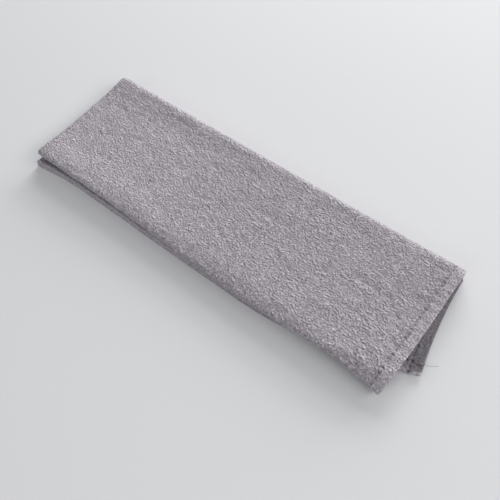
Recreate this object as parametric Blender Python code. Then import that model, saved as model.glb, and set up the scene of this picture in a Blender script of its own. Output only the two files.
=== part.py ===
"""A crinkled cotton napkin, folded in half across its length and then twice along it, lying flat as a strip.

X runs along the strip towards its hemmed end, Y across it towards the closed far edge, and Z is up. The cloth is
one sheet. The first fold lays it double, joined at the left end. That double cloth is then folded along the strip
into four levels: the lowest and the highest are joined round the far edge, the upper two at the near edge, and
the middle two inside the far edge. The lower two levels are open towards the near edge.
"""

import math

import bmesh
import bpy

# The cloth, in metres
PLY = 0.0010  # one ply of crinkled cotton, with its crimp
PITCH = 0.0014  # from the middle of one ply to the next
LEVELS = (0, 3, 2, 1)  # the levels in the order in which the cloth runs through them
CLOTH_COLOUR = (0.262, 0.243, 0.250, 1.0)

# The strip's outline, before it is centred on the origin
LEFT_END = -0.150
RIGHT_END = 0.150
FAR_EDGE = 0.048
HALF_LOOP = PITCH / 2
BASE = PLY / 2  # the middle of the lowest ply
NEAR_FOLD_REACH = 1.5 * PITCH + PLY / 2  # from the near fold's centre to its outside
FAR_FOLD_REACH = 3.5 * PITCH + PLY / 2

# Where the near edges lie along the strip: the closed fold of the upper levels, then the open edges of
# level 1 (its upper and lower ply) and of level 0 (its upper and lower ply)
NEAR_COLUMNS = ("x", "fold", "upper_1", "lower_1", "upper_0", "lower_0")
NEAR_EDGES = (
    (-0.150, -0.0480, -0.0520, -0.0520, -0.0530, -0.0530),
    (-0.120, -0.0477, -0.0487, -0.0489, -0.0491, -0.0495),
    (-0.085, -0.0472, -0.0481, -0.0483, -0.0485, -0.0488),
    (-0.030, -0.0476, -0.0479, -0.0481, -0.0483, -0.0487),
    (0.030, -0.0481, -0.0472, -0.0475, -0.0478, -0.0482),
    (0.060, -0.0478, -0.0463, -0.0467, -0.0471, -0.0477),
    (0.080, -0.0469, -0.0448, -0.0450, -0.0455, -0.0460),
    (0.100, -0.0458, -0.0408, -0.0410, -0.0418, -0.0425),
    (0.125, -0.0453, -0.0325, -0.0345, -0.0360, -0.0368),
    (0.150, -0.0470, -0.0230, -0.0270, -0.0300, -0.0310),
)

# How far the hemmed ends reach, at the near and far side of each level, for the upper and lower ply of the
# double cloth. The curve is the power with which a ply's end swings out from its far side to its near side
END_COLUMNS = ("level", "outer_far", "outer_near", "inner_far", "inner_near", "curve")
RIGHT_ENDS = (
    (0, 0.1490, 0.1445, 0.1480, 0.1440, 1.0),
    (3, 0.1513, 0.1506, 0.1485, 0.1470, 1.0),
    (2, 0.1505, 0.1488, 0.1480, 0.1460, 1.0),
    (1, 0.1515, 0.1625, 0.1450, 0.1435, 1.6),
)
END_BOW = 0.0008  # how far the top ply's end bows out, most in its near third
BOW_PEAK = 4 / 27  # the most that the bow's curve comes to

# How full the stack stands, as shares of its height, and where it gapes, sags and droops, in metres
LEFT_PUFF_NEAR = 0.0
LEFT_PUFF_FAR = 0.14
LEFT_PUFF_LENGTH = 0.045
HEM_PUFF = 0.13  # where the hems lie on each other, at the far right corner
HEM_PUFF_LENGTH = 0.022
HEM_PUFF_FROM = 0.45  # as a share of the way across
WAIST = 0.03
WAIST_HALF_LENGTH = 0.070
DISH_LEFT = 0.24  # how much fuller the folded edges stand than the middle between them
DISH_RIGHT = 0.12
DISH_SUNK = 0.28  # the share of it by which the middle is lower than the plain height
DISH_CHANGE = (-0.040, 0.050)
DISH_POWER = 2.5
EDGE_SLOPE = 0.04
EDGE_SLOPE_WIDTH = 0.008
NEAR_ROUND = 0.11  # how far the near edge is rounded off
NEAR_ROUND_WIDTH = 0.012
NEAR_ROUND_END = (0.080, 0.115)
ROLL = 0.015  # broad waves along the strip
ROLL_LENGTH = 0.085
PRESS = 0.13  # how much the lower two levels are pressed down at their near left corner
PRESS_LENGTH = 0.060
PRESS_DEPTH = 0.040
GAPE = 0.0014
GAPE_DEPTH = 0.030
GAPE_CHANGE = (-0.020, -0.140)
SAG = 4 * PITCH - 0.0003
SAG_WIDTH = 0.0155
SAG_POWER = 1.6
SLOPE_STEP = 0.0005
CORNER_START = 0.1492  # where the lower ply that fans out past the stack begins to hang down
CORNER_LENGTH = 0.0035
CORNER_DROOP = 0.0038
CORNER_POWER = 1.5
CORNER_CURL = 0.0014  # how far its tip curls up again
CORNER_REACH = 0.0133

# Soft troughs in the top: their middle, their direction in degrees, half their length and width, and their depth
# as a share of the height
TROUGH_COLUMNS = ("x", "y", "turn", "length", "width", "depth")
TROUGHS = (
    (-0.080, 0.029, 6, 0.048, 0.011, 0.10),
    (0.078, 0.034, 0, 0.030, 0.008, 0.05),
    (0.100, 0.022, -24, 0.026, 0.007, 0.04),
)

# The mesh
PANEL_SPANS = (6, 12, 11, 9)  # on each level, in the order of LEVELS
PANEL_CROWDING = 1.5  # how the steps crowd towards the near side
FAR_FOLD_SPANS = 8
NEAR_FOLD_SPANS = 6
INNER_FOLD_SPANS = 4
LENGTH_SPANS = 23
LENGTH_CROWDING = 1.6  # how the steps crowd towards the hemmed end
LOOP_SPANS = 4


def smooth(start, end, value):
    """0 before start, 1 after end, and an S-curve between them."""
    share = min(1.0, max(0.0, (value - start) / (end - start)))
    return share * share * (3 - 2 * share)


def along(table, columns, name, x):
    """The named column of a table at x, on a smooth curve through its rows."""
    pick = columns.index(name)
    xs = [row[0] for row in table]
    ys = [row[pick] for row in table]
    i = max(0, min(len(xs) - 2, sum(x > limit for limit in xs) - 1))
    width = xs[i + 1] - xs[i]

    def slope(j):
        a, b = max(0, j - 1), min(len(xs) - 1, j + 1)
        return (ys[b] - ys[a]) / (xs[b] - xs[a])

    t = min(1.0, max(0.0, (x - xs[i]) / width))
    return (
        (2 * t**3 - 3 * t**2 + 1) * ys[i]
        + (t**3 - 2 * t**2 + t) * width * slope(i)
        + (3 * t**2 - 2 * t**3) * ys[i + 1]
        + (t**3 - t**2) * width * slope(i + 1)
    )


def level_height(level):
    """The middle of a level of double cloth, before the stack settles."""
    return BASE - PITCH / 2 + (2 * level + 1) * PITCH


def stations():
    """The steps across the cloth, from one open edge to the other: (run, number of the run, share). On a level
    the share counts from its near side, and in a fold from where the cloth enters it."""
    folds = (FAR_FOLD_SPANS, NEAR_FOLD_SPANS, INNER_FOLD_SPANS)
    steps = []
    for number, spans in enumerate(PANEL_SPANS):
        shares = [(i / spans) ** PANEL_CROWDING for i in range(spans + 1)]
        if number % 2:
            shares.reverse()
        steps += [("level", number, share) for share in shares]
        if number < len(folds):
            steps += [("fold", number, i / folds[number]) for i in range(1, folds[number])]
    return steps


def columns_along():
    """The steps along the cloth, from one hemmed end to the other: (share of the way to the left end, angle of
    the loop there). The angle is 0 on the outer ply and half a turn on the inner one."""
    shares = [(i / LENGTH_SPANS) ** LENGTH_CROWDING for i in range(LENGTH_SPANS + 1)]
    outer = [(share, 0.0) for share in shares]
    loop = [(1.0, math.pi * i / LOOP_SPANS) for i in range(1, LOOP_SPANS)]
    inner = [(share, math.pi) for share in reversed(shares)]
    return outer + loop + inner


def end_of(level, outer_share, far_share):
    """How far a ply reaches to the right: outer_share is 1 on the outer ply, far_share 1 at the far side."""
    row = dict(zip(END_COLUMNS, next(r for r in RIGHT_ENDS if r[0] == level)))
    swing = (1 - far_share) ** row["curve"]
    outer = row["outer_far"] + (row["outer_near"] - row["outer_far"]) * swing
    inner = row["inner_far"] + (row["inner_near"] - row["inner_far"]) * swing
    if level == LEVELS[1]:
        outer += END_BOW * far_share * (1 - far_share) ** 2 / BOW_PEAK
    return inner + (outer - inner) * outer_share


def open_edge(level, outer_share, x):
    """The Y of a lower level's open edge. Its outer ply is the lower one on level 0 and the upper on level 1."""
    names = ("upper_0", "lower_0") if level == 0 else ("lower_1", "upper_1")
    inner, outer = (along(NEAR_EDGES, NEAR_COLUMNS, name, x) for name in names)
    return inner + (outer - inner) * outer_share


def flat_stack(station, column):
    """A point of the folded cloth's middle surface, before the stack settles."""
    kind, number, share = station
    to_left, angle = column
    offset = HALF_LOOP * math.cos(angle)
    outer_share = (1 + math.cos(angle)) / 2
    x_plain = RIGHT_END + (LEFT_END - RIGHT_END) * to_left
    far_centre = FAR_EDGE - FAR_FOLD_REACH
    near_centre = along(NEAR_EDGES, NEAR_COLUMNS, "fold", x_plain) + NEAR_FOLD_REACH
    level = LEVELS[number]
    towards_far = number % 2 == 0
    if kind == "level":
        far_share = share
        near = near_centre if level >= 2 else open_edge(level, outer_share, x_plain)
        y = near + (far_centre - near) * far_share
        z = level_height(level) + (-offset if towards_far else offset)
        reach = end_of(level, outer_share, far_share)
    else:
        following = LEVELS[number + 1]
        side = 1 if towards_far else -1
        rising = 1 if following > level else -1
        radius = abs(following - level) * PITCH + offset * side * rising
        turn = math.pi * share
        y = (far_centre if towards_far else near_centre) + side * radius * math.sin(turn)
        middle = (level_height(level) + level_height(following)) / 2
        z = middle - rising * radius * math.cos(turn)
        far_share = 1.0 if towards_far else 0.0
        before, after = (end_of(k, outer_share, far_share) for k in (level, following))
        reach = before + (after - before) * share
    loop_centre = LEFT_END + HALF_LOOP + PLY / 2
    x = reach + (loop_centre - reach) * to_left - HALF_LOOP * math.sin(angle)
    return x, y, z


def trough_depth(x, y):
    total = 0.0
    for row in TROUGHS:
        trough = dict(zip(TROUGH_COLUMNS, row))
        turn = math.radians(trough["turn"])
        right, back = x - trough["x"], y - trough["y"]
        lengthwise = (right * math.cos(turn) + back * math.sin(turn)) / trough["length"]
        sideways = (back * math.cos(turn) - right * math.sin(turn)) / trough["width"]
        total += trough["depth"] * math.exp(-(lengthwise**2) - sideways**2)
    return total


def fullness(x, y):
    """How high the stack stands, as a share of its plain height: more at the left end and along the folded edges,
    less at the waist, and in broad waves between."""
    near = along(NEAR_EDGES, NEAR_COLUMNS, "fold", x)
    across = min(1.0, max(0.0, (y - near) / (FAR_EDGE - near)))
    puff = LEFT_PUFF_NEAR + (LEFT_PUFF_FAR - LEFT_PUFF_NEAR) * across
    share = 1 + puff * math.exp(-(((x - LEFT_END) / LEFT_PUFF_LENGTH) ** 2))
    by_hem = math.exp(-(((x - RIGHT_END) / HEM_PUFF_LENGTH) ** 2))
    share += HEM_PUFF * by_hem * smooth(HEM_PUFF_FROM, 1.0, across)
    share -= WAIST * (1 - smooth(0, WAIST_HALF_LENGTH, abs(x)))
    dish = DISH_LEFT + (DISH_RIGHT - DISH_LEFT) * smooth(*DISH_CHANGE, x)
    share += dish * (abs(2 * across - 1) ** DISH_POWER - DISH_SUNK)
    share -= EDGE_SLOPE * (1 - smooth(0, EDGE_SLOPE_WIDTH, y - near))
    share -= EDGE_SLOPE * (1 - smooth(0, EDGE_SLOPE_WIDTH, FAR_EDGE - y))
    share -= NEAR_ROUND * (1 - smooth(*NEAR_ROUND_END, x)) * (1 - smooth(0, NEAR_ROUND_WIDTH, y - near))
    share -= trough_depth(x, y)
    return share + ROLL * math.sin(math.tau * x / ROLL_LENGTH) * math.sin(math.pi * across)


def press(x, y):
    """How much of their height the lower two levels lose at the near left corner."""
    near = along(NEAR_EDGES, NEAR_COLUMNS, "fold", x)
    by_length = 1 - smooth(0, PRESS_LENGTH, x - LEFT_END)
    return PRESS * by_length * (1 - smooth(near, near + PRESS_DEPTH, y))


def rise(x, y):
    """How far the upper two levels are lifted: they gape at the near left, and sag where they overhang."""
    near = along(NEAR_EDGES, NEAR_COLUMNS, "fold", x)
    gape = GAPE * (1 - smooth(near, near + GAPE_DEPTH, y)) * smooth(*GAPE_CHANGE, x)
    support = along(NEAR_EDGES, NEAR_COLUMNS, "lower_0", x) - PLY
    return gape - SAG * min(1.0, max(0.0, support - y) / SAG_WIDTH) ** SAG_POWER


def settled(x, y, z):
    """The same point in the stack as it lies. The upper two levels bend together, so their plies stay apart, and
    the lower corner droops where it reaches past the rest."""
    between = (level_height(1) + level_height(2)) / 2
    middle = (level_height(2) + level_height(3)) / 2
    upper = smooth(between - PITCH / 4, between + PITCH / 4, z)
    share = fullness(x, y) * (1 - (1 - upper) * press(x, y))
    slope = (rise(x, y + SLOPE_STEP) - rise(x, y - SLOPE_STEP)) / (2 * SLOPE_STEP)
    tilt = upper * math.atan(slope)
    away = (z - middle) * share
    height = BASE + (middle - BASE) * share + upper * rise(x, y)
    past_end = max(0.0, x - CORNER_START)
    height -= (1 - upper) * CORNER_DROOP * (1 - math.exp(-((past_end / CORNER_LENGTH) ** CORNER_POWER)))
    height += (1 - upper) * CORNER_CURL * (past_end / CORNER_REACH) ** 2
    return x, y - away * math.sin(tilt), height + away * math.cos(tilt)


def centre_on_base(mesh):
    """Moves the cloth so that the origin is under the middle of its box. The folds at the left end and the far
    edge reach half a ply past the middle surface, and the cut edges don't."""
    for axis, past_low, past_high in ((0, PLY / 2, 0), (1, 0, PLY / 2)):
        values = [v.co[axis] for v in mesh.verts]
        middle = (min(values) - past_low + max(values) + past_high) / 2
        for v in mesh.verts:
            v.co[axis] -= middle


def cotton():
    material = bpy.data.materials.new("cotton")
    material.use_nodes = True
    shader = material.node_tree.nodes["Principled BSDF"]
    shader.inputs["Base Color"].default_value = CLOTH_COLOUR
    shader.inputs["Roughness"].default_value = 0.9
    shader.inputs["Metallic"].default_value = 0.0
    return material


def napkin():
    """The whole cloth as a grid across and along it, folded point by point and given its thickness."""
    across, lengthwise = stations(), columns_along()
    mesh = bmesh.new()
    bmesh.ops.create_grid(
        mesh,
        x_segments=len(lengthwise) - 1,
        y_segments=len(across) - 1,
        size=1.0,
    )
    for v in mesh.verts:
        column = round((v.co.x + 1) / 2 * (len(lengthwise) - 1))
        row = round((v.co.y + 1) / 2 * (len(across) - 1))
        v.co = settled(*flat_stack(across[row], lengthwise[column]))
    bmesh.ops.recalc_face_normals(mesh, faces=mesh.faces)
    centre_on_base(mesh)
    data = bpy.data.meshes.new("napkin")
    mesh.to_mesh(data)
    mesh.free()
    data.shade_smooth()
    data.materials.append(cotton())
    cloth = bpy.data.objects.new("napkin", data)
    bpy.context.scene.collection.objects.link(cloth)
    thickness = cloth.modifiers.new("thickness", "SOLIDIFY")
    thickness.thickness = PLY
    thickness.offset = 0.0
    return cloth


def main():
    for stale in list(bpy.data.objects):
        bpy.data.objects.remove(stale)
    napkin()


main()
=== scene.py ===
"""Dresses the folded napkin: its crinkled cotton, the thread of its hems, and a plain pale table."""

import functools
import math

import bmesh
import bpy
from bpy.props import FloatProperty, FloatVectorProperty, PointerProperty
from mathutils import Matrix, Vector, noise


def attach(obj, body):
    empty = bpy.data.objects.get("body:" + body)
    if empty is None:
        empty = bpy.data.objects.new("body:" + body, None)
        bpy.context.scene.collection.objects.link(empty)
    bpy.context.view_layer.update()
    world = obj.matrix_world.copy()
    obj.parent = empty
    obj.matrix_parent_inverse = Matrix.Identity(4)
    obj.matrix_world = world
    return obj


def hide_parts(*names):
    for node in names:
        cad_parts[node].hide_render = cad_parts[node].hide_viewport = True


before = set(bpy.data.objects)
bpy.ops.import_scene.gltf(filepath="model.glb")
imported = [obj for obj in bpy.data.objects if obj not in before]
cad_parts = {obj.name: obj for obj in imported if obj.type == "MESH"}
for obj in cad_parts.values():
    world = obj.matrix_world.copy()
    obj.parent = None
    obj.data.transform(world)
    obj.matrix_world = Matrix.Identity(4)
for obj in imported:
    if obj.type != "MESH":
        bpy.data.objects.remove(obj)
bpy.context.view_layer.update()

bl_info = {
    "name": "Folded crinkled napkin",
    "version": (1, 0, 0),
    "blender": (4, 5, 0),
    "location": "View3D > Sidebar > Napkin",
    "description": "A crinkled cotton napkin folded into a long strip, with stitched hems, on a pale table",
    "category": "Add Mesh",
}

MM = 0.001

# The cloth and its folds, in metres
PLY = 0.0010  # one ply of crinkled cotton, with its crimp
PITCH = 0.0014  # from the middle of one ply to the next
LEVELS = (0, 3, 2, 1)  # the levels in the order in which the cloth runs through them
LEFT_END = -0.150
RIGHT_END = 0.150
FAR_EDGE = 0.048
HALF_LOOP = PITCH / 2
BASE = PLY / 2
NEAR_FOLD_REACH = 1.5 * PITCH + PLY / 2
FAR_FOLD_REACH = 3.5 * PITCH + PLY / 2
FAR_CENTRE = FAR_EDGE - FAR_FOLD_REACH
LOOP_CENTRE = LEFT_END + HALF_LOOP + PLY / 2

# Where the near edges lie along the strip: the closed fold of the upper levels, then the open edges below it
NEAR_COLUMNS = ("x", "fold", "upper_1", "lower_1", "upper_0", "lower_0")
NEAR_EDGES = (
    (-0.150, -0.0480, -0.0520, -0.0520, -0.0530, -0.0530),
    (-0.120, -0.0477, -0.0487, -0.0489, -0.0491, -0.0495),
    (-0.085, -0.0472, -0.0481, -0.0483, -0.0485, -0.0488),
    (-0.030, -0.0476, -0.0479, -0.0481, -0.0483, -0.0487),
    (0.030, -0.0481, -0.0472, -0.0475, -0.0478, -0.0482),
    (0.060, -0.0478, -0.0463, -0.0467, -0.0471, -0.0477),
    (0.080, -0.0469, -0.0448, -0.0450, -0.0455, -0.0460),
    (0.100, -0.0458, -0.0408, -0.0410, -0.0418, -0.0425),
    (0.125, -0.0453, -0.0325, -0.0345, -0.0360, -0.0368),
    (0.150, -0.0470, -0.0230, -0.0270, -0.0300, -0.0310),
)

# How far the hemmed ends reach, for the upper and lower ply of each level, and how a ply's end swings out
END_COLUMNS = ("level", "outer_far", "outer_near", "inner_far", "inner_near", "curve")
RIGHT_ENDS = (
    (0, 0.1490, 0.1445, 0.1480, 0.1440, 1.0),
    (3, 0.1513, 0.1506, 0.1485, 0.1470, 1.0),
    (2, 0.1505, 0.1488, 0.1480, 0.1460, 1.0),
    (1, 0.1515, 0.1625, 0.1450, 0.1435, 1.6),
)
END_BOW = 0.0008
BOW_PEAK = 4 / 27  # the most that the bow's curve comes to
FURTHEST_END = max(row[2] for row in RIGHT_ENDS)
NEAREST_EDGE = min(min(row[1:]) for row in NEAR_EDGES)
MIDDLE = ((LEFT_END + FURTHEST_END) / 2, (FAR_EDGE + NEAREST_EDGE) / 2)

# How full the stack stands, as shares of its height, and where it gapes, sags and droops, in metres
LEFT_PUFF_NEAR = 0.0
LEFT_PUFF_FAR = 0.14
LEFT_PUFF_LENGTH = 0.045
HEM_PUFF = 0.13
HEM_PUFF_LENGTH = 0.022
HEM_PUFF_FROM = 0.45
WAIST = 0.03
WAIST_HALF_LENGTH = 0.070
DISH_LEFT = 0.24
DISH_RIGHT = 0.12
DISH_SUNK = 0.28
DISH_CHANGE = (-0.040, 0.050)
DISH_POWER = 2.5
EDGE_SLOPE = 0.04
EDGE_SLOPE_WIDTH = 0.008
NEAR_ROUND = 0.11
NEAR_ROUND_WIDTH = 0.012
NEAR_ROUND_END = (0.080, 0.115)
ROLL = 0.015
ROLL_LENGTH = 0.085
PRESS = 0.13
PRESS_LENGTH = 0.060
PRESS_DEPTH = 0.040
GAPE = 0.0014
GAPE_DEPTH = 0.030
GAPE_CHANGE = (-0.020, -0.140)
SAG = 4 * PITCH - 0.0003
SAG_WIDTH = 0.0155
SAG_POWER = 1.6
SLOPE_STEP = 0.0005
CORNER_START = 0.1492
CORNER_LENGTH = 0.0035
CORNER_DROOP = 0.0038
CORNER_POWER = 1.5
CORNER_CURL = 0.0014
CORNER_REACH = 0.0133

# Soft troughs in the top: their middle, their direction in degrees, half their length and width, and
# their depth as a share of the height
TROUGH_COLUMNS = ("x", "y", "turn", "length", "width", "depth")
TROUGHS = (
    (-0.080, 0.029, 6, 0.048, 0.011, 0.10),
    (0.078, 0.034, 0, 0.030, 0.008, 0.05),
    (0.100, 0.022, -24, 0.026, 0.007, 0.04),
)

# Creases in the top level: their middle, direction in degrees, half length and width, and height, which is
# below 0 for troughs
CREASE_COLUMNS = ("x", "y", "turn", "length", "width", "height")
CREASES = (
    # the long crease from the right part's middle to the hem
    (0.1028, 0.0051, -17, 0.0060, 0.0015, -0.00040),
    (0.1108, 0.0042, 2, 0.0052, 0.0016, -0.00055),
    (0.1193, 0.0042, 2, 0.0050, 0.0016, -0.00050),
    (0.1280, 0.0002, -37, 0.0070, 0.0015, -0.00045),
    (0.1365, -0.0043, -11, 0.0048, 0.0014, -0.00035),
    # the right part
    (0.0838, 0.0189, -19, 0.0060, 0.0015, -0.00050),
    (0.0890, -0.0227, -5, 0.0045, 0.0017, 0.00040),
    (0.0973, -0.0220, 19, 0.0058, 0.0015, 0.00040),
    (0.1147, -0.0158, -17, 0.0036, 0.0014, -0.00040),
    (0.1018, 0.0147, -15, 0.0040, 0.0014, -0.00035),
    (0.1241, 0.0241, -16, 0.0055, 0.0014, -0.00030),
    (0.0855, 0.0414, 0, 0.0064, 0.0022, -0.00040),
    (0.1021, 0.0416, 8, 0.0068, 0.0022, -0.00035),
    (0.1229, 0.0431, 6, 0.0075, 0.0020, -0.00035),
    # rays that the seam and the near corner pull up
    (0.1414, 0.0017, 4, 0.0092, 0.0014, -0.00025),
    (0.1417, 0.0155, 6, 0.0090, 0.0014, -0.00022),
    (0.1431, -0.0090, 7, 0.0080, 0.0014, -0.00025),
    (0.1279, -0.0383, -44, 0.0070, 0.0018, -0.00060),
    (0.1403, -0.0380, -35, 0.0055, 0.0017, -0.00040),
    # the left part
    (-0.1221, -0.0017, -29, 0.0100, 0.0014, -0.00045),
    (-0.1237, -0.0065, -17, 0.0074, 0.0014, -0.00032),
    (-0.0988, 0.0043, 21, 0.0115, 0.0014, -0.00045),
    (-0.1158, 0.0159, -3, 0.0098, 0.0015, -0.00040),
    (-0.1315, 0.0212, -8, 0.0098, 0.0014, -0.00030),
    (-0.0708, 0.0157, -30, 0.0098, 0.0016, 0.00040),
    (-0.0551, 0.0229, -15, 0.0065, 0.0016, -0.00050),
    (-0.0769, 0.0370, 3, 0.0092, 0.0022, -0.00040),
    (-0.1045, 0.0390, -3, 0.0108, 0.0022, -0.00030),
    (-0.1009, -0.0215, 10, 0.0105, 0.0015, -0.00035),
    (-0.0621, -0.0170, 27, 0.0100, 0.0014, 0.00035),
    (-0.0503, -0.0247, -21, 0.0070, 0.0014, -0.00040),
    (-0.0740, 0.0003, -39, 0.0066, 0.0014, -0.00035),
    (-0.0967, -0.0415, 0, 0.0112, 0.0014, -0.00025),
    # the middle
    (-0.0280, 0.0190, -24, 0.0090, 0.0015, -0.00040),
    (-0.0180, -0.0060, 12, 0.0110, 0.0015, -0.00035),
    (-0.0020, 0.0300, -12, 0.0080, 0.0016, -0.00045),
    (0.0100, -0.0210, -31, 0.0085, 0.0015, -0.00035),
    (0.0240, 0.0080, 6, 0.0120, 0.0015, -0.00045),
    (0.0330, -0.0330, 3, 0.0090, 0.0015, -0.00030),
    (0.0470, 0.0260, -20, 0.0075, 0.0015, -0.00040),
    (0.0560, -0.0090, -14, 0.0100, 0.0015, 0.00038),
)

CREASE_REACH = 6  # a crease has run out at this many times the square of its half length

# The mesh: steps across each level in the order of LEVELS, round the folds, and along the two plies
LEVEL_SPANS = (10, 92, 12, 18)
LEVEL_CROWDING = (1.8, 1.0, 1.0, 1.6)
FOLD_SPANS = (12, 10, 4)
HEM_SPANS = 12
HEM_REACH = 0.009
OUTER_SPANS = 234
LOOP_SPANS = 6
INNER_SPANS = 36
INNER_CROWDING = 1.3

# The flat cloth: how far across it each level and fold begins, and its length and width
LEVEL_WIDTHS = (0.0903, 0.0885, 0.0885, 0.0895)
FOLD_LENGTHS = (math.pi * 3 * PITCH, math.pi * PITCH, math.pi * PITCH)
FLAT_ACROSS = sum(LEVEL_WIDTHS) + sum(FOLD_LENGTHS)
FLAT_ALONG = 2 * (RIGHT_END - LOOP_CENTRE) + math.pi * HALF_LOOP

# Across the flat cloth, what lies between these two places is open to daylight: the far fold, the top level
# and the near fold. The lower plies outside them are given painted shade
EXPOSED = (LEVEL_WIDTHS[0], sum(LEVEL_WIDTHS[:2]) + sum(FOLD_LENGTHS[:2]))


def smooth(start, end, value):
    """0 before start, 1 after end, and an S-curve between them."""
    share = min(1.0, max(0.0, (value - start) / (end - start)))
    return share * share * (3 - 2 * share)


@functools.lru_cache(maxsize=None)
def near_edge(name, x):
    """The named column of NEAR_EDGES at x, on a smooth curve through its rows."""
    pick = NEAR_COLUMNS.index(name)
    xs = [row[0] for row in NEAR_EDGES]
    ys = [row[pick] for row in NEAR_EDGES]
    i = max(0, min(len(xs) - 2, sum(x > limit for limit in xs) - 1))
    width = xs[i + 1] - xs[i]

    def slope(j):
        a, b = max(0, j - 1), min(len(xs) - 1, j + 1)
        return (ys[b] - ys[a]) / (xs[b] - xs[a])

    t = min(1.0, max(0.0, (x - xs[i]) / width))
    return (
        (2 * t**3 - 3 * t**2 + 1) * ys[i]
        + (t**3 - 2 * t**2 + t) * width * slope(i)
        + (3 * t**2 - 2 * t**3) * ys[i + 1]
        + (t**3 - t**2) * width * slope(i + 1)
    )


def level_height(level):
    """The height of the middle of a level's double cloth, before the stack settles."""
    return BASE - PITCH / 2 + (2 * level + 1) * PITCH


def stations():
    """The steps across the cloth, from one open edge to the other: (run, number of the run, share)."""
    steps = []
    for number, spans in enumerate(LEVEL_SPANS):
        shares = [(i / spans) ** LEVEL_CROWDING[number] for i in range(spans + 1)]
        if number % 2:
            shares.reverse()
        steps += [("level", number, share) for share in shares]
        if number < len(FOLD_SPANS):
            steps += [("fold", number, i / FOLD_SPANS[number]) for i in range(1, FOLD_SPANS[number])]
    return steps


def columns_along():
    """The steps along the cloth: (share of the way to the left end, angle of the loop there)."""
    hem = HEM_REACH / (RIGHT_END - LOOP_CENTRE)
    shares = [hem * i / HEM_SPANS for i in range(HEM_SPANS)]
    shares += [hem + (1 - hem) * i / OUTER_SPANS for i in range(OUTER_SPANS + 1)]
    loop = [(1.0, math.pi * i / LOOP_SPANS) for i in range(1, LOOP_SPANS)]
    inner = [((1 - i / INNER_SPANS) ** INNER_CROWDING, math.pi) for i in range(INNER_SPANS + 1)]
    return [(share, 0.0) for share in shares] + loop + inner


def end_of(level, outer_share, far_share):
    """How far a level's hemmed end reaches, at a share of the way across it, in its outer or inner ply."""
    row = dict(zip(END_COLUMNS, next(r for r in RIGHT_ENDS if r[0] == level)))
    swing = (1 - far_share) ** row["curve"]
    outer = row["outer_far"] + (row["outer_near"] - row["outer_far"]) * swing
    inner = row["inner_far"] + (row["inner_near"] - row["inner_far"]) * swing
    if level == LEVELS[1]:
        outer += END_BOW * far_share * (1 - far_share) ** 2 / BOW_PEAK
    return inner + (outer - inner) * outer_share


def open_edge(level, outer_share, x):
    """Where the open near edge of one of the lower two levels lies."""
    names = ("upper_0", "lower_0") if level == 0 else ("lower_1", "upper_1")
    inner, outer = (near_edge(name, x) for name in names)
    return inner + (outer - inner) * outer_share


def flat_stack(station, column):
    """A point of the folded cloth before the stack settles, and its place on the flat cloth."""
    kind, number, share = station
    to_left, angle = column
    offset = HALF_LOOP * math.cos(angle)
    outer_share = (1 + math.cos(angle)) / 2
    x_plain = RIGHT_END + (LEFT_END - RIGHT_END) * to_left
    near_centre = near_edge("fold", x_plain) + NEAR_FOLD_REACH
    level = LEVELS[number]
    towards_far = number % 2 == 0
    across = sum(LEVEL_WIDTHS[:number]) + sum(FOLD_LENGTHS[:number])
    if kind == "level":
        far_share = share
        near = near_centre if level >= 2 else open_edge(level, outer_share, x_plain)
        y = near + (FAR_CENTRE - near) * far_share
        z = level_height(level) + (-offset if towards_far else offset)
        reach = end_of(level, outer_share, far_share)
        width = FAR_CENTRE - near
        from_near = share * width + (LEVEL_WIDTHS[number] - width) * smooth(0.5, 1.0, share)
        across += from_near if towards_far else LEVEL_WIDTHS[number] - from_near
    else:
        following = LEVELS[number + 1]
        side = 1 if towards_far else -1
        rising = 1 if following > level else -1
        radius = abs(following - level) * PITCH + offset * side * rising
        turn = math.pi * share
        y = (FAR_CENTRE if towards_far else near_centre) + side * radius * math.sin(turn)
        middle = (level_height(level) + level_height(following)) / 2
        z = middle - rising * radius * math.cos(turn)
        far_share = 1.0 if towards_far else 0.0
        before, after = (end_of(k, outer_share, far_share) for k in (level, following))
        reach = before + (after - before) * share
        across += LEVEL_WIDTHS[number] + share * FOLD_LENGTHS[number]
    x = reach + (LOOP_CENTRE - reach) * to_left - HALF_LOOP * math.sin(angle)
    if angle == 0:
        lengthwise = reach - x
    elif to_left < 1 or angle == math.pi:
        lengthwise = FLAT_ALONG - (reach - x)
    else:
        lengthwise = RIGHT_END - LOOP_CENTRE + HALF_LOOP * angle
    return (x, y, z), (lengthwise, across)


def within(mound, x, y):
    """A place in the axes of a long mound or trough, as shares of its half length and half width."""
    turn = math.radians(mound["turn"])
    right, back = x - mound["x"], y - mound["y"]
    lengthwise = (right * math.cos(turn) + back * math.sin(turn)) / mound["length"]
    sideways = (back * math.cos(turn) - right * math.sin(turn)) / mound["width"]
    return lengthwise, sideways


def trough_depth(x, y):
    """How deep the soft troughs are at a place, as a share of the height."""
    total = 0.0
    for row in TROUGHS:
        trough = dict(zip(TROUGH_COLUMNS, row))
        lengthwise, sideways = within(trough, x, y)
        total += trough["depth"] * math.exp(-(lengthwise**2) - sideways**2)
    return total


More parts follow.
